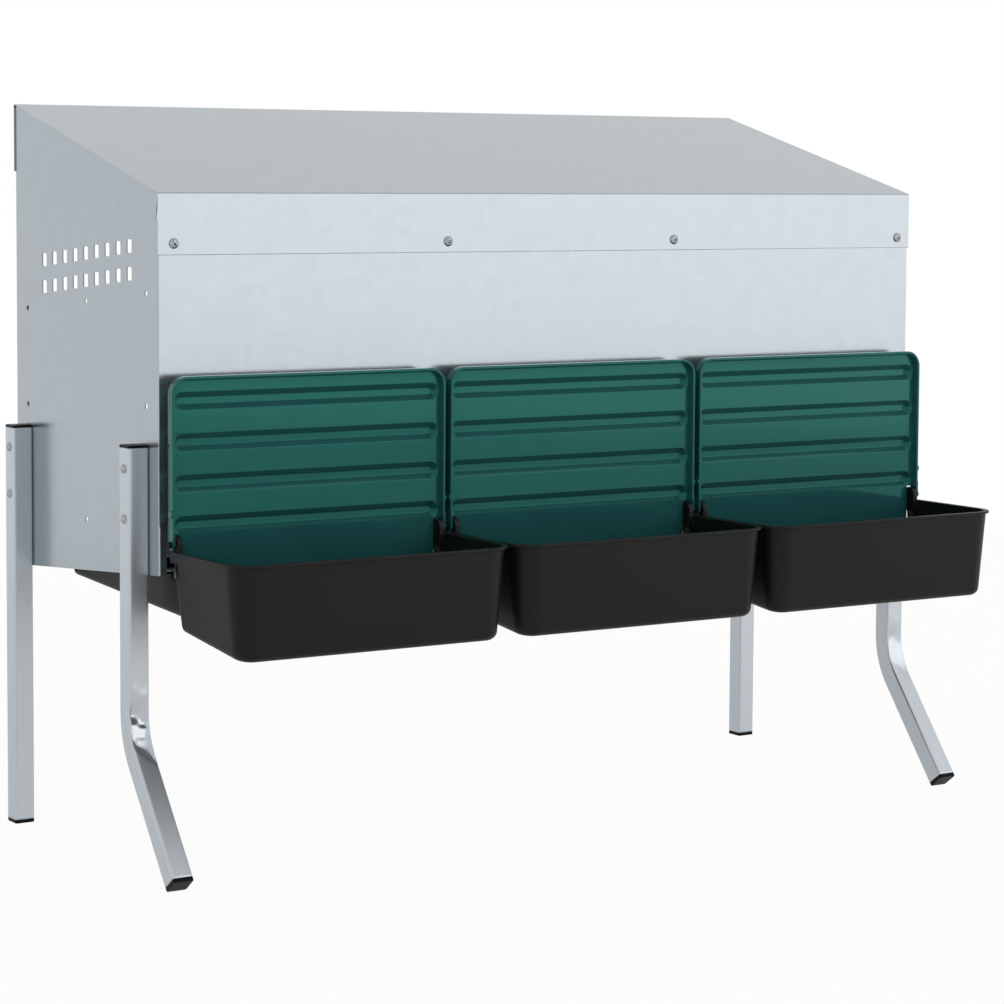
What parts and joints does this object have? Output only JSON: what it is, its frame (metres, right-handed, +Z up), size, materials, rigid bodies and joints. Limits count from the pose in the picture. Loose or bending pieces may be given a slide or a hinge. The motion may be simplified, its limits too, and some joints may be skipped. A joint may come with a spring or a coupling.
{
  "type": "chicken nesting box",
  "caption": "Free-standing metal nesting box with sloped roof, nest compartments open at the rear, and roll-out egg troughs under hinged lids at the front, on bent tube legs.",
  "frame": {"origin": "centre of the footprint on the floor, under the middle of the overall box", "axes": "+X to the right seen from the egg-trough side, -Y toward the egg troughs, +Y toward the open hen side, +Z up"},
  "size_m": [0.7244, 0.3652, 0.5545],
  "materials": {
    "galvanised_sheet": "smooth galvanised sheet, satin",
    "zinc_tube": "bright zinc-plated square tube",
    "zinc_fastener": "zinc-plated screws, bolts, nuts and rivets",
    "black_pan_plastic": "moulded black plastic, satin",
    "black_cap_plastic": "black plastic tube plugs and hinge pins",
    "green_lid_plastic": "moulded dark teal-green plastic, glossy"
  },
  "bodies": {
    "box": {"cap_front_left": "black_cap_plastic", "cap_front_right": "black_cap_plastic", "cap_rear_left": "black_cap_plastic", "cap_rear_right": "black_cap_plastic", "entrance_sill": "galvanised_sheet", "foot_front_left": "black_cap_plastic", "foot_front_right": "black_cap_plastic", "foot_rear_left": "black_cap_plastic", "foot_rear_right": "black_cap_plastic", "front_panel": "galvanised_sheet", "front_panel_rivets": "zinc_fastener", "hinge_pins_left": "black_cap_plastic", "hinge_pins_middle": "black_cap_plastic", "hinge_pins_right": "black_cap_plastic", "leg_bolts": "zinc_fastener", "leg_front_left": "zinc_tube", "leg_front_right": "zinc_tube", "leg_nuts": "zinc_fastener", "leg_rear_left": "zinc_tube", "leg_rear_right": "zinc_tube", "nest_pan_left": "black_pan_plastic", "nest_pan_middle": "black_pan_plastic", "nest_pan_right": "black_pan_plastic", "partition_left": "galvanised_sheet", "partition_right": "galvanised_sheet", "roof": "galvanised_sheet", "roof_screws_front": "zinc_fastener", "roof_screws_rear": "zinc_fastener", "side_panel_left": "galvanised_sheet", "side_panel_right": "galvanised_sheet", "sill_rivets": "zinc_fastener"},
    "lid_left": {"lid_left": "green_lid_plastic"},
    "lid_middle": {"lid_middle": "green_lid_plastic"},
    "lid_right": {"lid_right": "green_lid_plastic"}
  },
  "joints": [
    {"name": "lid_left_hinge", "type": "hinge", "parent": "box", "child": "lid_left", "pos_m": [-0.2304, -0.0815, 0.2408], "axis": [1, 0, 0], "range_deg": [0, 90]},
    {"name": "lid_middle_hinge", "type": "hinge", "parent": "box", "child": "lid_middle", "pos_m": [0, -0.0815, 0.2408], "axis": [1, 0, 0], "range_deg": [0, 90]},
    {"name": "lid_right_hinge", "type": "hinge", "parent": "box", "child": "lid_right", "pos_m": [0.2304, -0.0815, 0.2408], "axis": [1, 0, 0], "range_deg": [0, 90]}
  ]
}
